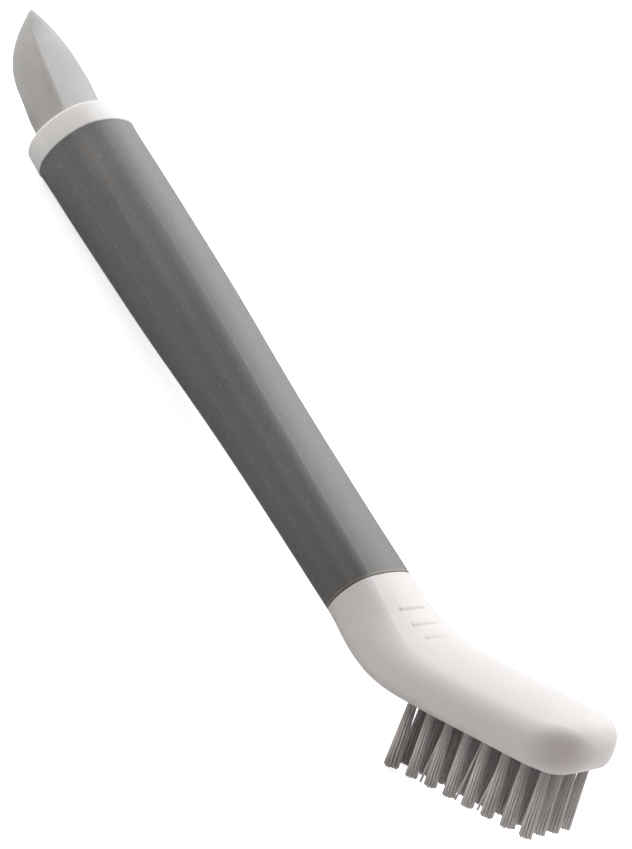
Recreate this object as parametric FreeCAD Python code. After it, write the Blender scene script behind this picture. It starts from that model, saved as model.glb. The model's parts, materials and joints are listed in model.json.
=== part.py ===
import FreeCAD, Part
import math
import os

# Hand-held double-ended scrub brush: an angled bristle head, a soft grip sleeve over a tapered core,
# an end collar and a pointed rubber scraper tip.  Millimetres.
#
# Design frame: origin at the centre of the joint between grip and neck, +X along the handle toward the
# brush head, +Z toward the back of the brush, XZ the plane of symmetry.  Station s runs along the spine:
# negative along the straight grip, positive through the bent neck to the toe of the head.

V = FreeCAD.Vector

# --- overall layout -------------------------------------------------------------------------------
GRIP_LEN = 125.0                    # visible length of the soft sleeve
COLLAR_LEN = 6.1                    # end collar
COLLAR_PROUD = 0.15                 # step from the sleeve up to the collar
SEAM_GAP = 0.25                     # shadow groove between the sleeve and the neck
SLEEVE_T = 2.4                      # thickness of the soft sleeve
FIT = 0.05                          # clearance between curved faces of neighbouring pieces

BEND_START = 5.1                    # the neck starts to bend here
BEND_END = 30.75                    # and is straight again from here: origin of the head frame
BEND_DEG = 30.8
HEAD_END = 67.7                     # station of the toe

# --- cross-sections: station, value ------------------------------------------------------------------
HALF_W = [(-125, 12.69), (-83.6, 12.46), (-41.3, 11.87), (0, 12.28), (27, 14.6), (48, 14.8), (80, 14.8)]
TOP_H = [(-125, 11.17), (-83.6, 10.19), (-41.3, 8.25), (0, 7.37), (27, 7.05), (48, 6.93), (80, 6.93)]
BOT_H = [(-125, 11.17), (-83.6, 10.19), (-41.3, 8.25), (0, 7.37), (7.7, 7.15), (15.4, 6.5), (23, 5.6), (29, 5.35),
         (80, 5.35)]
TOP_CROWN = [(-125, 18.5), (0, 34), (24, 36), (80, 36)]
BOT_CROWN = [(-125, 18.5), (0, 34), (24, 300), (80, 300)]
SIDE_CROWN = [(-125, 11.6), (0, 15.5), (24, 42), (80, 42)]
TOP_CORNER = [(-125, 8.8), (0, 6.4), (24, 5), (48, 4.9), (64, 5.3), (80, 5.3)]
BOT_CORNER = [(-125, 8.8), (0, 6.4), (24, 3.7), (80, 3.7)]

# rounding of the toe: length and exponent of the superellipse
TOE_PLAN = (12.0, 2.3)
TOE_TOP = (8.0, 2.3)
TOE_BOT = (5.6, 2.1)
UNDERSIDE = 5.2                     # flat underside of the head below the head axis

# --- bristles ----------------------------------------------------------------------------------------
TUFT_COLS = 8
TUFT_ROWS = [-8.2, -2.8, 2.8, 8.2]
TUFT_FIRST = 25.6                   # station of the heel column
TUFT_PITCH = 5.05
TUFT_TRIM = 20.8                    # trim plane below the head axis
HOLE_R = 1.15
HOLE_DEPTH = 4.6
TUFT_TIP_R = 1.6
ANCHOR = (3.0, 0.35, 1.5)           # flat wire staple: width, thickness, height

# --- raised finger ridges on the back of the neck ------------------------------------------------------
RIDGE_AT = [9.3, 14.7, 20.2]
RIDGE_LEN = 10.6
RIDGE_R = 1.1
RIDGE_H = 0.33
RIDGE_ARC = 26.0                    # tighter than the crown of the neck, so the ends sink into it

# --- scraper tip: station, half width, height of the side edges, depth of the underside ------------------
TIP_SECTIONS = [(-128.6, 9.15, 3.9, -7.7), (-131.5, 9.05, 4.6, -7.6), (-134.7, 8.8, 5.25, -7.55),
                (-138.0, 8.55, 5.8, -7.4), (-141.2, 8.1, 6.3, -6.95), (-144.5, 7.5, 6.7, -6.45),
                (-147.8, 6.8, 7.05, -6.0), (-151.1, 5.85, 7.3, -5.1), (-154.3, 4.6, 7.5, -3.3),
                (-157.6, 2.85, 7.65, 0.3), (-159.6, 1.35, 7.72, 3.9), (-160.8, 0.4, 7.76, 6.6)]
TIP_CROWN = 0.7                     # rise of the back face above its side edges
TIP_EDGE_R = (2.6, 0.25)            # rounding of the side edges: at the collar, at the point
TIP_STEM = (6.0, 5.0, 9.0)          # stem in the handle end: half width, half height, length
TIP_FLANGE = 1.6                    # flange that locks the tip behind the collar
SOCKET_LEN = 12.0


def at(table, s):
    """Smooth value of a station table: cubic between stations with averaged slopes."""
    if s <= table[0][0]:
        return table[0][1]
    if s >= table[-1][0]:
        return table[-1][1]
    k = max(i for i in range(len(table) - 1) if table[i][0] <= s)

    def slope(i):
        if i == 0 or i == len(table) - 1:
            j = 0 if i == 0 else i - 1
            return (table[j + 1][1] - table[j][1]) / (table[j + 1][0] - table[j][0])
        d0 = (table[i][1] - table[i - 1][1]) / (table[i][0] - table[i - 1][0])
        d1 = (table[i + 1][1] - table[i][1]) / (table[i + 1][0] - table[i][0])
        return 2 * d0 * d1 / (d0 + d1) if d0 * d1 > 0 else 0.0

    (s0, v0), (s1, v1) = table[k], table[k + 1]
    h = s1 - s0
    t = (s - s0) / h
    return ((2 * t ** 3 - 3 * t ** 2 + 1) * v0 + (t ** 3 - 2 * t ** 2 + t) * h * slope(k)
            + (3 * t ** 2 - 2 * t ** 3) * v1 + (t ** 3 - t ** 2) * h * slope(k + 1))


def spine(s):
    """Point of the spine and its slope at station s."""
    if s <= BEND_START:
        return s, 0.0, 0.0
    end = min(s, BEND_END)
    steps = 80
    ds = (end - BEND_START) / steps
    x, z = BEND_START, 0.0
    for i in range(steps):
        u = (i + 0.5) * ds / (BEND_END - BEND_START)
        a = math.radians(BEND_DEG) * u * u * (3 - 2 * u)
        x += math.cos(a) * ds
        z += math.sin(a) * ds
    u = (end - BEND_START) / (BEND_END - BEND_START)
    a = math.radians(BEND_DEG) * u * u * (3 - 2 * u)
    return x + (s - end) * math.cos(a), z + (s - end) * math.sin(a), a


def on_spine(s, y, z):
    """Point of the design frame that is (y, z) from the spine in the plane square to it."""
    x0, z0, a = spine(s)
    return V(x0 - math.sin(a) * z, y, z0 + math.cos(a) * z)


def corner_arc(half_w, half_h, crown, side, radius):
    """Centre and end angles of the corner arc tangent to the crown arc and to the side arc."""
    c1 = (0.0, half_h - crown)
    c2 = (half_w - side, 0.0)
    r1, r2 = crown - radius, side - radius
    dy, dz = c2[0] - c1[0], c2[1] - c1[1]
    d = math.hypot(dy, dz)
    along = (d * d + r1 * r1 - r2 * r2) / (2 * d)
    off = math.sqrt(max(r1 * r1 - along * along, 1e-9))
    uy, uz = dy / d, dz / d
    best = None
    for sign in (1, -1):
        c = (c1[0] + uy * along - sign * uz * off, c1[1] + uz * along + sign * uy * off)
        if best is None or c[0] + c[1] > best[0] + best[1]:
            best = c
    a_top = math.atan2(best[1] - c1[1], best[0] - c1[0])
    a_side = math.atan2(best[1] - c2[1], best[0] - c2[0])
    return best, a_top, a_side


def quarter(half_w, half_h, crown, side, radius):
    """Seven points of one quarter of the section, from the side to the crown."""
    c, a_top, a_side = corner_arc(half_w, half_h, crown, side, radius)
    pts = []
    for k in range(3):
        t = a_side * k / 2
        pts.append((half_w - side + side * math.cos(t), side * math.sin(t)))
    for k in (1, 2):
        t = a_side + (a_top - a_side) * k / 2
        pts.append((c[0] + radius * math.cos(t), c[1] + radius * math.sin(t)))
    for k in (1, 2):
        t = a_top + (math.pi / 2 - a_top) * k / 2
        pts.append((crown * math.cos(t), half_h - crown + crown * math.sin(t)))
    return pts


def section_wire(s, half_w, top, bottom, place):
    """Closed outline of eight tangent arcs; top and bottom are (height, crown, side, corner)."""
    t = quarter(half_w, *top)
    b = quarter(half_w, *bottom)
    pos = [place(s, y, z) for y, z in t]
    neg = [place(s, -y, z) for y, z in t]
    low = [place(s, y, -z) for y, z in b]
    lown = [place(s, -y, -z) for y, z in b]
    arcs = [(low[2], pos[0], pos[2]), (pos[2], pos[3], pos[4]), (pos[4], pos[6], neg[4]), (neg[4], neg[3], neg[2]),
            (neg[2], neg[0], lown[2]), (lown[2], lown[3], lown[4]), (lown[4], lown[6], low[4]),
            (low[4], low[3], low[2])]
    return Part.Wire([Part.Arc(*a).toShape() for a in arcs])


def body_wire(s, inset=0.0, place=on_spine):
    """Outline of the handle, neck or head at station s, moved inward by inset."""
    half_w = at(HALF_W, s)
    top = at(TOP_H, s)
    bot = at(BOT_H, s)
    plan = toe_factor(s, *TOE_PLAN)
    half_w = half_w * plan - inset
    top = top * toe_factor(s, *TOE_TOP) - inset
    bot = bot * toe_factor(s, *TOE_BOT) - inset
    crown = max(at(TOP_CROWN, s) * max(plan, 0.05), 1.02 * half_w, 1.02 * top)
    under = max(at(BOT_CROWN, s), 1.02 * half_w)
    side = max(at(SIDE_CROWN, s), 1.02 * top)
    c_top = min(at(TOP_CORNER, s), 0.85 * half_w, 0.85 * top)
    c_bot = min(at(BOT_CORNER, s), 0.85 * half_w, 0.85 * bot)
    return section_wire(s, half_w, (top, crown, side, c_top), (bot, under, side, c_bot), place)


def toe_factor(s, length, power):
    u = min(max((s - HEAD_END + length) / length, 0.0), 1.0)
    return (1 - u ** power) ** (1 / power)


def loft(wires):
    return Part.makeLoft(wires, True, False)


def spread(a, b, n):
    return [a + (b - a) * i / (n - 1) for i in range(n)]


def head_frame(shape):
    """Move a shape drawn in the head frame (X along the head from the end of the bend) to the design frame."""
    x0, z0, a = spine(BEND_END)
    shape.rotate(V(0, 0, 0), V(0, 1, 0), -math.degrees(a))
    shape.translate(V(x0, 0, z0))
    return shape


def tuft_places():
    for r, y in enumerate(TUFT_ROWS):
        for c in range(TUFT_COLS):
            yield r, c, TUFT_FIRST - BEND_END + c * TUFT_PITCH, y


def disc(r, x, y, z, h):
    return Part.makeCylinder(r, h, V(x, y, z))


def slot_box(x, y, grow):
    w, t, h = (d + 2 * grow for d in ANCHOR)
    z0 = -UNDERSIDE + HOLE_DEPTH - 0.7 - ANCHOR[2] - grow
    return Part.makeBox(w, t, h, V(x - w / 2, y - t / 2, z0))


def make_core():
    """Tapered stem inside the sleeve, with the socket for the scraper tip and the collar."""
    core = loft([body_wire(s, SLEEVE_T) for s in spread(-GRIP_LEN, 3.0, 9)])
    socket = Part.makeBox(SOCKET_LEN + 1, 2 * (TIP_STEM[0] + TIP_FLANGE + FIT), 2 * (TIP_STEM[1] + FIT),
                          V(-GRIP_LEN - 1, -TIP_STEM[0] - TIP_FLANGE - FIT, -TIP_STEM[1] - FIT))
    return core.cut(socket)


def make_head():
    """Neck and head in one moulding with the core: ridges on the neck, blind tuft holes in the underside."""
    toe = HEAD_END - TOE_PLAN[0]
    stations = [0.0, 2.5] + spread(5.1, toe, 15)
    stations += [HEAD_END - TOE_PLAN[0] * (1 - math.sin(math.radians(d))) for d in (12, 24, 36, 47, 57, 66, 74, 81, 86.5)]
    head = loft([body_wire(s) for s in stations])
    head = head.cut(head_frame(Part.makeBox(90, 60, 20, V(-35, -30, -UNDERSIDE - 20))))
    head = head.fuse([make_ridge(s) for s in RIDGE_AT])
    tools = []
    for r, c, x, y in tuft_places():
        tools.append(head_frame(disc(HOLE_R, x, y, -UNDERSIDE - 1, HOLE_DEPTH + 1)))
        tools.append(head_frame(slot_box(x, y, 0.02)))
    return head.cut(tools).fuse(make_core()).removeSplitter()


def make_ridge(s):
    """Low rounded bar across the back of the neck, bowed a little more than the neck."""
    bow = RIDGE_ARC - RIDGE_R
    half = (RIDGE_LEN / 2 - RIDGE_R) / bow
    ring = Part.Face(Part.Wire(Part.makeCircle(RIDGE_R, V(0, 0, bow), V(0, 1, 0))))
    bar = ring.revolve(V(0, 0, 0), V(1, 0, 0), math.degrees(2 * half))
    bar.rotate(V(0, 0, 0), V(1, 0, 0), -math.degrees(half))
    ends = [Part.makeSphere(RIDGE_R, V(0, y * math.sin(half) * bow, math.cos(half) * bow)) for y in (-1, 1)]
    bar = bar.fuse(ends).removeSplitter()
    bar.translate(V(0, 0, at(TOP_H, s) + RIDGE_H - RIDGE_ARC))
    bar.rotate(V(0, 0, 0), V(0, 1, 0), -math.degrees(spine(s)[2]))
    bar.translate(on_spine(s, 0, 0))
    return bar


def make_sleeve():
    stations = spread(-GRIP_LEN, -SEAM_GAP, 11)
    outer = loft([body_wire(s) for s in stations])
    ends = [e for e in outer.Edges if abs(e.BoundBox.XMin + SEAM_GAP) < 0.01 and abs(e.BoundBox.XMax + SEAM_GAP) < 0.01]
    outer = outer.makeFillet(0.3, ends)
    bore = loft([body_wire(s, SLEEVE_T - FIT) for s in spread(-GRIP_LEN - 2, 2.0, 9)])
    return outer.cut(bore)


def make_collar():
    """End cap ring, a little proud of the sleeve, with an opening for the tip."""
    x0 = -GRIP_LEN - COLLAR_LEN
    def straight(s, y, z):
        return V(s, y * (1 + 0.0022 * (s + GRIP_LEN)), z * (1 + 0.0022 * (s + GRIP_LEN)))
    ring = loft([body_wire(s, -COLLAR_PROUD, straight) for s in (x0, -GRIP_LEN)])
    for x, r in ((x0, 0.9), (-GRIP_LEN, 0.2)):
        rim = [e for e in ring.Edges if abs(e.BoundBox.XMin - x) < 0.01 and abs(e.BoundBox.XMax - x) < 0.01]
        ring = ring.makeFillet(r, rim)
    tip = loft([tip_wire(*t, FIT) for t in TIP_SECTIONS[:4]])
    stem = Part.makeBox(COLLAR_LEN, 2 * (TIP_STEM[0] + FIT), 2 * (TIP_STEM[1] + FIT),
                        V(-GRIP_LEN - COLLAR_LEN + 1.0, -TIP_STEM[0] - FIT, -TIP_STEM[1] - FIT))
    return ring.cut([tip, stem.common(ring)])


def tip_edge_r(s):
    """Rounding of the side edges of the scraper: soft at the collar, fine at the point."""
    u = min(max((TIP_SECTIONS[0][0] - s) / (TIP_SECTIONS[0][0] - TIP_SECTIONS[-1][0]), 0.0), 1.0)
    fade = 1 - u * u * (3 - 2 * u)
    return TIP_EDGE_R[1] + (TIP_EDGE_R[0] - TIP_EDGE_R[1]) * fade


def tip_wire(s, half_w, edge, low, grow=0.0):
    """Section of the scraper: gently crowned back, deep rounded underside, rounded side edges between them."""
    half_w += grow
    low -= grow
    edge += grow
    r = min(tip_edge_r(s), 0.45 * half_w, 0.4 * (edge - low))
    crown = min(TIP_CROWN, 0.25 * half_w)
    y0 = half_w - r
    z0 = edge + crown * (1 - (y0 / half_w) ** 2)
    c = r * (1 - math.sqrt(0.5))
    back = Part.Arc(V(s, -y0, z0), V(s, 0, edge + crown), V(s, y0, z0)).toShape()
    right = Part.Arc(V(s, y0, z0), V(s, half_w - c, z0 - c), V(s, half_w, z0 - r)).toShape()
    left = Part.Arc(V(s, -half_w, z0 - r), V(s, c - half_w, z0 - c), V(s, -y0, z0)).toShape()
    depth = z0 - r - low
    pts = []
    for k in range(13):
        t = math.pi * k / 12
        y = half_w * math.copysign(abs(math.cos(t)) ** 0.88, math.cos(t))
        pts.append(V(s, y, z0 - r - depth * math.sin(t) ** 0.88))
    under = Part.BSplineCurve()
    under.interpolate(pts)
    return Part.Wire([back, right, under.toShape(), left])


def make_tip():
    blade = loft([tip_wire(*t) for t in TIP_SECTIONS])
    x0 = TIP_SECTIONS[0][0]
    w, h, n = TIP_STEM
    stem = Part.makeBox(-GRIP_LEN - x0 + n, 2 * w, 2 * h, V(x0, -w, -h))
    flange = Part.makeBox(2.0, 2 * (w + TIP_FLANGE), 2 * h, V(-GRIP_LEN + 0.1, -w - TIP_FLANGE, -h))
    return blade.fuse([stem, flange]).removeSplitter()


def make_tuft(x, y):
    """One bundle of filaments: straight in its hole, flaring a little to the trim plane."""
    root = -UNDERSIDE + HOLE_DEPTH - 0.05
    r = HOLE_R - FIT
    legs = disc(r, x, y, -UNDERSIDE, root + UNDERSIDE)
    flare = Part.makeCone(TUFT_TIP_R, r, TUFT_TRIM - UNDERSIDE, V(x, y, -TUFT_TRIM))
    slot = slot_box(x, y, 0.03)
    return legs.fuse(flare).removeSplitter().cut(slot)


def make_parts():
    parts = {"brush_head": make_head(), "grip_sleeve": make_sleeve(), "end_collar": make_collar(),
             "scraper_tip": make_tip()}
    anchors = []
    for r, c, x, y in tuft_places():
        parts["tuft_%d_%d" % (r + 1, c + 1)] = head_frame(make_tuft(x, y))
        anchors.append(head_frame(slot_box(x, y, 0.0)))
    parts["tuft_anchors"] = Part.makeCompound(anchors)
    return parts


def lay_down(parts):
    """Lay the brush on a table: heel bristles and lower rim of the collar touch, origin below the middle."""
    x0, z0, a = spine(BEND_END)
    hx = TUFT_FIRST - BEND_END - TUFT_TIP_R
    heel = (x0 + hx * math.cos(a) + TUFT_TRIM * math.sin(a), z0 + hx * math.sin(a) - TUFT_TRIM * math.cos(a))
    tilt = 0.0
    for i in range(6):
        low = lowest_collar(parts["end_collar"], tilt)
        dx = heel[0] - low[0]
        tilt = math.atan2(low[1] - heel[1], dx)
    for shape in parts.values():
        shape.rotate(V(0, 0, 0), V(0, 1, 0), -math.degrees(tilt))
    boxes = [s.optimalBoundingBox(False) for s in parts.values()]
    xm = (min(b.XMin for b in boxes) + max(b.XMax for b in boxes)) / 2
    ym = (min(b.YMin for b in boxes) + max(b.YMax for b in boxes)) / 2
    zm = min(b.ZMin for b in boxes)
    for shape in parts.values():
        shape.translate(V(-xm, -ym, -zm))
    return tilt, xm, zm


def lowest_collar(collar, tilt):
    """Lowest point of the collar in the design frame when the brush is tilted by tilt."""
    pts = [p for e in collar.Edges for p in e.discretize(25)]
    best = min(pts, key=lambda p: p.z * math.cos(tilt) + p.x * math.sin(tilt))
    return best.x, best.z


os.makedirs("parts", exist_ok=True)
PARTS = make_parts()
TILT, X_MID, Z_LOW = lay_down(PARTS)
print("tilt %.4f deg, origin x %.4f z %.4f" % (math.degrees(TILT), X_MID, Z_LOW))
for node, shape in PARTS.items():
    if not shape.isValid():
        print("not valid:", node)
    print(node, "solids", len(shape.Solids), "volume %.1f" % shape.Volume)
    shape.exportStep("parts/%s.step" % node)
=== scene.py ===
import bpy
import json
import math
import random
from mathutils import Matrix, Vector


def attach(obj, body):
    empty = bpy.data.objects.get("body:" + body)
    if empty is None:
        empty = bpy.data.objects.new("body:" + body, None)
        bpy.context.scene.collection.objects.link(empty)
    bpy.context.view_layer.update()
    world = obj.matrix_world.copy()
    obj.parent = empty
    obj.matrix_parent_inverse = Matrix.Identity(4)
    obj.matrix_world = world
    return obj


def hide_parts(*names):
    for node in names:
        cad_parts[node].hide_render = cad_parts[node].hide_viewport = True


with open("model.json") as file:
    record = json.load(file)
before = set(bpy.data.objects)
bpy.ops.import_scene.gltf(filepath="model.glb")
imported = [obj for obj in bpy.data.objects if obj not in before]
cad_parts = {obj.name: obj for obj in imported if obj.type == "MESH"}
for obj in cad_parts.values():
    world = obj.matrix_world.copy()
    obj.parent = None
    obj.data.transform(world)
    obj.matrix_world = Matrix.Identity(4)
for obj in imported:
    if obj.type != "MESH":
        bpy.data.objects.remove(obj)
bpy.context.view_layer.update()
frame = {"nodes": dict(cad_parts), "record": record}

NODES = frame["nodes"]
SCENE = bpy.context.scene

# The handle axis starts at the joint between grip and neck and lies tilted, so its parting plane does too.
TILT = math.radians(1.1911)
JOINT_X = 0.0468434
JOINT_Z = 0.0139150
GRIP_LEN = 0.125
PARTING_HALF = 0.00013                             # half width of the mould line, on the soft sleeve
PARTING_HALF_HARD = 0.00012                        # and on the hard plastic
MM = 0.001


# ---------------------------------------------------------------------------------------------- camera
CAMERA_PLACE = (0.266296, -0.662664, 0.40377)
CAMERA_RIGHT = (0.498933, 0.567961, 0.654588)
CAMERA_UP = (-0.805829, 0.026089, 0.591574)
CAMERA_LENS = 155.6


def make_camera():
    cam = bpy.data.cameras.new("camera")
    cam.lens = CAMERA_LENS
    cam.sensor_width = 36.0
    cam.clip_start = 0.05
    cam.clip_end = 20.0
    obj = bpy.data.objects.new("camera", cam)
    SCENE.collection.objects.link(obj)
    right, up = Vector(CAMERA_RIGHT), Vector(CAMERA_UP)
    back = right.cross(up).normalized()
    basis = Matrix((right, up, back)).transposed().to_4x4()
    obj.matrix_world = Matrix.Translation(CAMERA_PLACE) @ basis
    SCENE.camera = obj


# ------------------------------------------------------------------------------------------- materials
class Nodes:
    """Short helper for building a node material round one Principled shader, in object coordinates."""

    def __init__(self, name):
        self.mat = bpy.data.materials.new(name)
        self.mat.use_nodes = True
        self.tree = self.mat.node_tree
        self.bsdf = next(n for n in self.tree.nodes if n.type == "BSDF_PRINCIPLED")
        self.coord = self.add("ShaderNodeTexCoord").outputs["Object"]

    def add(self, kind, **props):
        node = self.tree.nodes.new(kind)
        for key, value in props.items():
            setattr(node, key, value)
        return node

    def link(self, a, b):
        self.tree.links.new(a, b)

    def put(self, socket, value):
        """Link a socket, or set a plain value."""
        if hasattr(value, "is_linked"):
            self.link(value, socket)
        else:
            socket.default_value = value

    def set(self, **values):
        """Inputs of the Principled shader, with _ for each space in the name."""
        for key, value in values.items():
            self.put(self.bsdf.inputs[key.replace("_", " ")], value)

    def scaled(self, scale):
        """Object coordinates, stretched."""
        node = self.add("ShaderNodeMapping")
        node.inputs["Scale"].default_value = scale
        self.link(self.coord, node.inputs["Vector"])
        return node.outputs["Vector"]

    def noise(self, scale, detail, rough, vector=None):
        node = self.add("ShaderNodeTexNoise")
        node.inputs["Scale"].default_value = scale
        node.inputs["Detail"].default_value = detail
        node.inputs["Roughness"].default_value = rough
        self.link(self.coord if vector is None else vector, node.inputs["Vector"])
        return node.outputs["Fac"]

    def math(self, op, a, b=None):
        node = self.add("ShaderNodeMath", operation=op)
        self.put(node.inputs[0], a)
        if b is not None:
            self.put(node.inputs[1], b)
        return node.outputs[0]

    def remap(self, value, from_min, from_max, to_min=0.0, to_max=1.0, smooth=True):
        node = self.add("ShaderNodeMapRange", interpolation_type="SMOOTHSTEP" if smooth else "LINEAR")
        for i, v in enumerate((value, from_min, from_max, to_min, to_max)):
            self.put(node.inputs[i], v)
        return node.outputs[0]

    def mix(self, fac, a, b):
        """Colour a where fac is 0, colour b where it is 1."""
        node = self.add("ShaderNodeMix", data_type="RGBA")
        self.put(node.inputs[0], fac)
        self.put(node.inputs[6], a)
        self.put(node.inputs[7], b)
        return node.outputs[2]

    def dot(self, vec):
        """Distance of the shaded point along a direction."""
        node = self.add("ShaderNodeVectorMath", operation="DOT_PRODUCT")
        self.link(self.coord, node.inputs[0])
        node.inputs[1].default_value = vec
        return node.outputs["Value"]

    def bump(self, height, distance, strength):
        node = self.add("ShaderNodeBump")
        node.inputs["Strength"].default_value = strength
        node.inputs["Distance"].default_value = distance
        self.put(node.inputs["Height"], height)
        return node.outputs["Normal"]

    def along_handle(self):
        """Distance along the handle axis, 0 at the joint between grip and neck."""
        along = self.dot((math.cos(TILT), 0.0, math.sin(TILT)))
        return self.math("SUBTRACT", along, JOINT_X * math.cos(TILT) + JOINT_Z * math.sin(TILT))

    def parting(self, half_width):
        """1 on the thin line where the two mould halves met, 0 elsewhere."""
        height = self.dot((-math.sin(TILT), 0.0, math.cos(TILT)))
        offset = JOINT_Z * math.cos(TILT) - JOINT_X * math.sin(TILT)
        away = self.math("ABSOLUTE", self.math("SUBTRACT", height, offset))
        return self.remap(away, half_width * 0.4, half_width, 1.0, 0.0)


def rgb(red, green, blue):
    return (red, green, blue, 1.0)


def grey(value, warm=0.0):
    return rgb(value * (1 + warm), value, value * (1 - warm))


def grip_material():
    """Soft-touch rubber: fine grain, pale specks, the mould line, a painted highlight as a pale tan band on
    the rounded edge at the neck, and painted shade that darkens the grip toward the neck.
    """
    n = Nodes("grip_soft_touch")
    along = n.along_handle()
    cloud = n.noise(55.0, 3.0, 0.6)
    grain = n.noise(3200.0, 2.0, 0.55)
    speck = n.remap(n.noise(2100.0, 1.0, 0.5), 0.64, 0.70)
    line = n.parting(PARTING_HALF)
    # painted highlight: a pale tan band on the rounded end of the sleeve at the neck
    edge_painted_highlight = n.remap(along, -0.00085, -0.00055)
    # painted shade: the grip darkens slowly along its length toward the neck, and more in the last 30 mm
    neck_painted_shade = n.math("ADD", n.remap(along, -GRIP_LEN, 0.0, 0.0, 0.13, smooth=False),
                  n.remap(along, -0.030, 0.0, 0.0, 0.22))
    base = n.mix(n.remap(cloud, 0.3, 0.7), rgb(0.120, 0.123, 0.125), rgb(0.129, 0.132, 0.134))
    base = n.mix(n.remap(grain, 0.35, 0.65, 0.0, 0.35), base, grey(0.160, -0.03))
    base = n.mix(n.math("MULTIPLY", speck, 0.5), base, grey(0.27, -0.02))
    base = n.mix(n.math("MULTIPLY", line, 0.24), base, grey(0.349, 0.020))
    # painted highlight band at the sleeve end
    base = n.mix(n.math("MULTIPLY", edge_painted_highlight, 0.75), base, rgb(0.40, 0.345, 0.29))
    # painted shade toward the neck
    base = n.mix(neck_painted_shade, base, grey(0.03))
    n.set(Base_Color=base, Roughness=n.remap(grain, 0.3, 0.7, 0.45, 0.53))
    n.set(Specular_IOR_Level=0.9, Sheen_Weight=0.18, Sheen_Roughness=0.5)
    height = n.math("ADD", grain, n.math("MULTIPLY", line, 1.2))
    n.set(Normal=n.bump(height, 0.00005, 0.55))
    return n.mat


def white_material(name, low, high, glow):
    """Satin moulded plastic: two close whites in soft clouds; glow is the share of light let through."""
    n = Nodes(name)
    cloud = n.noise(40.0, 3.0, 0.55)
    flow = n.noise(260.0, 2.0, 0.5)
    line = n.parting(PARTING_HALF_HARD)
    base = n.mix(n.remap(cloud, 0.3, 0.7), low, high)
    base = n.mix(n.math("MULTIPLY", line, 0.07), base, rgb(0.62, 0.60, 0.59))
    n.set(Base_Color=base, Roughness=n.remap(flow, 0.3, 0.7, 0.42, 0.50))
    n.set(Specular_IOR_Level=0.4, Subsurface_Weight=glow, Subsurface_Scale=0.004)
    n.bsdf.inputs["Subsurface Radius"].default_value = (1.0, 0.55, 0.35)
    n.set(Normal=n.bump(n.math("ADD", flow, n.math("MULTIPLY", line, 0.4)), 0.00004, 0.2))
    return n.mat


def tip_material():
    """Pale rubber with a few dark dust specks."""
    n = Nodes("tip_light_rubber")
    cloud = n.noise(120.0, 3.0, 0.6)
    grain = n.noise(2400.0, 2.0, 0.5)
    dust = n.remap(n.noise(1700.0, 0.0, 0.3), 0.735, 0.775)
    base = n.mix(n.remap(cloud, 0.3, 0.7), rgb(0.485, 0.485, 0.484), rgb(0.535, 0.535, 0.533))
    base = n.mix(n.math("MULTIPLY", dust, 0.5), base, rgb(0.34, 0.32, 0.31))
    n.set(Base_Color=base, Roughness=n.remap(grain, 0.3, 0.7, 0.50, 0.62))
    n.set(Specular_IOR_Level=0.3, Subsurface_Weight=0.06, Subsurface_Scale=0.003)
    n.bsdf.inputs["Subsurface Radius"].default_value = (1.0, 0.7, 0.55)
    n.set(Normal=n.bump(n.math("ADD", grain, n.math("MULTIPLY", cloud, 0.8)), 0.00005, 0.4))
    return n.mat


def bristle_material():
    """Nylon, paler in the outer rows, with painted shade toward the root and inside the brush."""
    n = Nodes("bristle_filament")
    along = n.dot(tuple(ALONG))
    across = n.dot((0.0, 1.0, 0.0))
    streaks = n.add("ShaderNodeCombineXYZ")
    n.put(streaks.inputs[0], along)
    n.put(streaks.inputs[1], across)
    n.put(streaks.inputs[2], n.dot(tuple(DOWN * 0.1)))
    tone = n.noise(420.0, 1.0, 0.5, streaks.outputs[0])
    base = n.mix(n.remap(tone, 0.35, 0.65), rgb(0.70, 0.675, 0.67), rgb(0.78, 0.755, 0.75))
    toe = tuft_end("tuft_2_%d" % TUFT_COLS).dot(ALONG)
    # painted shade in the inner rows, fading out near the toe end
    inner_rows_painted_shade = n.remap(n.math("ABSOLUTE", across), 0.0056, 0.0068, 0.55, 0.0)
    inner_rows_painted_shade = n.math("MULTIPLY", inner_rows_painted_shade, n.remap(along, toe - 0.0030, toe - 0.0016, 1.0, 0.25))
    # painted shade toward the root, under the head
    root_painted_shade = n.remap(n.dot(tuple(DOWN)), ROOT_LEVEL, ROOT_LEVEL + 0.009, 0.45, 0.0)
    # share left unshaded by the painted shade
    light = n.math("MULTIPLY", n.math("SUBTRACT", 1.0, inner_rows_painted_shade), n.math("SUBTRACT", 1.0, root_painted_shade))
    # painted shade: mix toward a dark grey
    base = n.mix(n.math("SUBTRACT", 1.0, light), base, rgb(0.17, 0.145, 0.15))
    n.set(Base_Color=base, Roughness=n.remap(tone, 0.3, 0.7, 0.38, 0.46))
    n.set(Specular_IOR_Level=0.5, Subsurface_Weight=0.08, Subsurface_Scale=0.0008)
    return n.mat


def anchor_material():
    """Drawn wire, brushed along its length."""
    n = Nodes("anchor_wire")
    brushed = n.noise(900.0, 2.0, 0.5, n.scaled((1.0, 8.0, 1.0)))
    n.set(Base_Color=n.mix(brushed, rgb(0.55, 0.55, 0.54), rgb(0.70, 0.70, 0.68)), Metallic=1.0)
    n.set(Roughness=n.remap(brushed, 0.3, 0.7, 0.3, 0.45))
    return n.mat


def floor_material():
    """White paper that looks evenly lit, but sends no extra light back up at the object."""
    n = Nodes("floor_paper")
    fibre = n.noise(180.0, 4.0, 0.6)
    seen = n.add("ShaderNodeLightPath").outputs["Is Camera Ray"]
    n.set(Base_Color=n.mix(fibre, grey(0.90), grey(0.93)), Roughness=0.9)
    n.set(Specular_IOR_Level=0.1, Normal=n.bump(fibre, 0.0001, 0.1))
    n.set(Emission_Color=grey(1.0), Emission_Strength=n.math("MULTIPLY", seen, FLOOR_SEEN))
    return n.mat


def paint(obj, mat):
    """Give a CAD node its only material."""
    obj.data.materials.clear()
    obj.data.materials.append(mat)


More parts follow.
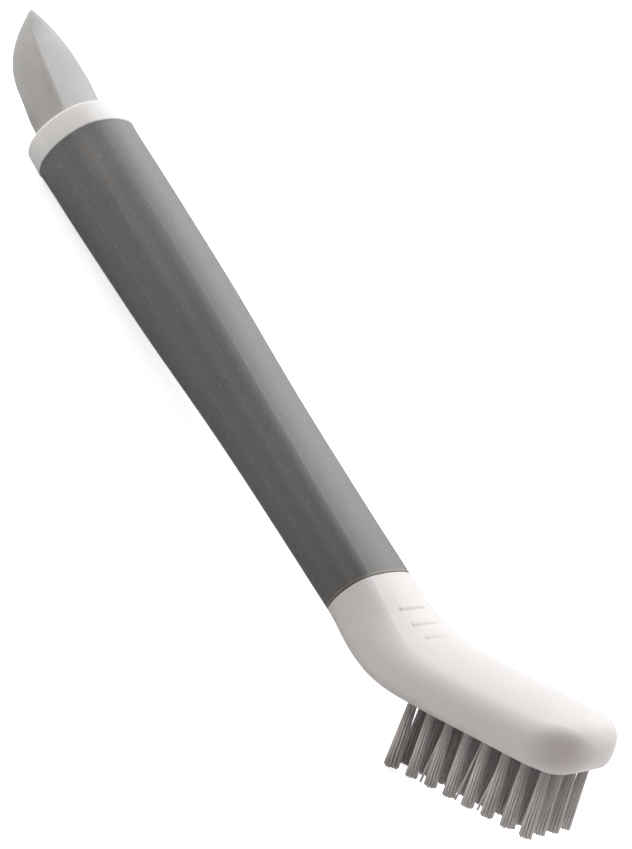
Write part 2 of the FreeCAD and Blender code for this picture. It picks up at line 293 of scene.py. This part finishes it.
# -------------------------------------------------------------------------------------------- bristles
TUFT_ROWS = 4
TUFT_COLS = 8
TRIM = next(m for m in frame["record"]["mounts"] if m["name"] == "bristle_trim")
DOWN = Vector(TRIM["axis"]).normalized()           # along the filaments, toward the trim
ACROSS = Vector((0.0, 1.0, 0.0))
ALONG = DOWN.cross(ACROSS).normalized()            # along the head, toward the toe
VISIBLE = 0.0156                                   # trim length below the underside
ROOT_DEPTH = 0.0018                                # start of the filaments above the underside
ROOT_LEVEL = Vector(TRIM["pos_m"]).dot(DOWN) - VISIBLE
FILAMENT_R = 0.00027
FILAMENT_STEP = 0.00038                            # spacing of the filaments in a tuft, at the root
SIDES = 8                                          # of a filament's section
SPANS = 5                                          # of a filament, root to end
FLOOR_GAP = 0.0003                                 # the lowest ends are trimmed to stay this far up

# filaments that lean out of their tuft: row, column, shift of the end along the head (mm), across (mm)
STRAYS = {
    (1, 1): [(-1.9, -0.1)],
    (1, 3): [(-2.1, -0.2), (-1.6, 0.0)],
    (1, 5): [(-2.6, -0.1)],
    (1, 6): [(-2.4, -0.2)],
    (1, 7): [(1.5, 0.0)],
    (2, 1): [(1.2, 0.1)],
    (2, 8): [(0.6, 0.0)],
    (3, 2): [(-1.5, 0.0), (-1.0, 0.0)],
    (4, 1): [(1.0, 0.0)],
    (4, 8): [(0.7, 0.6)],
}


def tuft_end(node):
    """Centre of the trimmed end of a CAD tuft."""
    pts = [v.co for v in NODES[node].data.vertices]
    far = max(p.dot(DOWN) for p in pts)
    rim = [p for p in pts if p.dot(DOWN) > far - 0.1 * MM]
    return sum(rim, Vector()) / len(rim)


def root_spots():
    """Places of the filaments across a tuft: one in the middle and two rings round it."""
    spots = [(0.0, 0.0)]
    for ring, count, turn in ((1, 6, 0.0), (2, 12, 0.26)):
        for k in range(count):
            a = math.tau * k / count + turn
            spots.append((ring * FILAMENT_STEP * math.cos(a), ring * FILAMENT_STEP * math.sin(a)))
    return spots


def filament(verts, faces, smooth, path, radius):
    """Tube round a path with a flat cut end."""
    start = len(verts)
    for k, p in enumerate(path):
        tangent = (path[min(k + 1, len(path) - 1)] - path[max(k - 1, 0)]).normalized()
        side = tangent.cross(ACROSS).normalized()
        other = tangent.cross(side)
        for j in range(SIDES):
            a = math.tau * j / SIDES
            verts.append(p + side * (radius * math.cos(a)) + other * (radius * math.sin(a)))
    for k in range(len(path) - 1):
        for j in range(SIDES):
            a, b = start + k * SIDES + j, start + k * SIDES + (j + 1) % SIDES
            faces.append((a, b, b + SIDES, a + SIDES))
            smooth.append(True)
    last = start + (len(path) - 1) * SIDES
    faces.append(tuple(last + j for j in range(SIDES)))
    smooth.append(False)


def tuft_paths(row, col):
    """Centre line and radius of each filament of a tuft."""
    rng = random.Random(1000 * row + 17 * col)
    end = tuft_end("tuft_%d_%d" % (row, col))
    length = VISIBLE + ROOT_DEPTH
    root = end - DOWN * length
    lean = Vector((rng.gauss(0, 0.08), rng.gauss(0, 0.08))) * MM
    flare = rng.uniform(0.50, 0.68)
    if col == 1:                                   # the heel tufts splay most and lean back
        flare += 0.40
        lean.x -= 0.0003
    elif col == 2 and row > 1:
        flare += 0.25
    trim = rng.uniform(0.0, 0.0002)
    strays = list(STRAYS.get((row, col), ()))
    spots = root_spots()
    rng.shuffle(spots)
    for u, v in spots:                             # u runs along the head, v across it
        du = u * flare + lean.x + rng.gauss(0, 0.000025)
        dv = v * flare + lean.y + rng.gauss(0, 0.000025)
        on_its_side = strays and (u * strays[0][0] > 0 or abs(u) < 1e-6)
        if on_its_side:
            shift_along, shift_across = strays.pop(0)
            du, dv = shift_along * MM - u * 0.3, shift_across * MM
        short = trim + abs(rng.gauss(0, 0.00014))
        end_z = (end + ALONG * (u + du)).z - DOWN.z * short
        if end_z < FLOOR_GAP:
            short += (FLOOR_GAP - end_z) / -DOWN.z
        bow = rng.gauss(0, 0.00002)
        path = []
        for k in range(SPANS + 1):
            t = k / SPANS
            p = root + DOWN * (t * (length - short))
            p += ALONG * (u + du * t + bow * math.sin(math.pi * t)) + ACROSS * (v + dv * t)
            path.append(p)
        yield path, FILAMENT_R * rng.uniform(0.95, 1.04)


def make_tuft(row, col, mat):
    """One mesh of separate filaments in place of a plain CAD tuft."""
    verts, faces, smooth = [], [], []
    for path, radius in tuft_paths(row, col):
        filament(verts, faces, smooth, path, radius)
    name = "bristles_%d_%d" % (row, col)
    mesh = bpy.data.meshes.new(name)
    mesh.from_pydata([tuple(p) for p in verts], [], faces)
    mesh.polygons.foreach_set("use_smooth", smooth)
    mesh.update()
    mesh.materials.append(mat)
    obj = bpy.data.objects.new(name, mesh)
    SCENE.collection.objects.link(obj)
    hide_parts("tuft_%d_%d" % (row, col))
    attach(obj, "root")


# -------------------------------------------------------------------------------------- floor and light
FLOOR_HALF = 6.0
FLOOR_DROP = 0.00002                               # keeps the floor just clear of the object
FLOOR_SEEN = 0.80                                  # glow of the paper for the camera only
LIGHT_TARGET = (0.0, 0.0, 0.01)
# name, place, size, power, colour
LIGHTS = [
    ("key", (-0.40, 0.99, 0.71), 1.0, 9.3, (1.00, 0.975, 0.965)),
    ("end_fill", (-1.25, 0.2, 0.95), 0.9, 12.2, (0.92, 0.965, 1.00)),
    ("side_fill", (-1.0, -0.9, 0.8), 0.9, 9.5, (1.00, 0.92, 0.85)),
    ("head_fill", (1.3, 0.3, 0.9), 0.9, 5.9, (1.00, 0.86, 0.82)),
    ("back_fill", (0.6, 1.25, 0.8), 0.9, 11.0, (0.95, 1.00, 1.00)),
]


def make_floor():
    s = FLOOR_HALF
    mesh = bpy.data.meshes.new("floor")
    mesh.from_pydata([(-s, -s, 0), (s, -s, 0), (s, s, 0), (-s, s, 0)], [], [(0, 1, 2, 3)])
    mesh.materials.append(floor_material())
    obj = bpy.data.objects.new("floor", mesh)
    obj.location.z = -FLOOR_DROP
    SCENE.collection.objects.link(obj)


def area_light(name, place, size, power, colour):
    data = bpy.data.lights.new(name, "AREA")
    data.shape = "RECTANGLE"
    data.size = data.size_y = size
    data.energy = power
    data.color = colour
    obj = bpy.data.objects.new(name, data)
    obj.location = place
    obj.rotation_euler = (Vector(LIGHT_TARGET) - Vector(place)).to_track_quat("-Z", "Y").to_euler()
    SCENE.collection.objects.link(obj)


def make_light():
    """Five soft lights in a dark room."""
    SCENE.world = bpy.data.worlds.new("studio")
    SCENE.world.use_nodes = True
    SCENE.world.node_tree.nodes["Background"].inputs["Strength"].default_value = 0.0
    for light in LIGHTS:
        area_light(*light)
    SCENE.view_settings.view_transform = "Standard"


# --------------------------------------------------------------------------------------------- the scene
make_camera()
make_floor()
make_light()

paint(NODES["brush_head"], white_material("white_moulded_plastic", rgb(0.80, 0.778, 0.772),
                                          rgb(0.83, 0.812, 0.806), glow=0.12))
paint(NODES["end_collar"], white_material("white_collar_plastic", rgb(0.905, 0.90, 0.90),
                                          rgb(0.93, 0.925, 0.925), glow=0.35))
paint(NODES["grip_sleeve"], grip_material())
paint(NODES["scraper_tip"], tip_material())
paint(NODES["tuft_anchors"], anchor_material())
nylon = bristle_material()
for row in range(1, TUFT_ROWS + 1):
    for col in range(1, TUFT_COLS + 1):
        make_tuft(row, col, nylon)
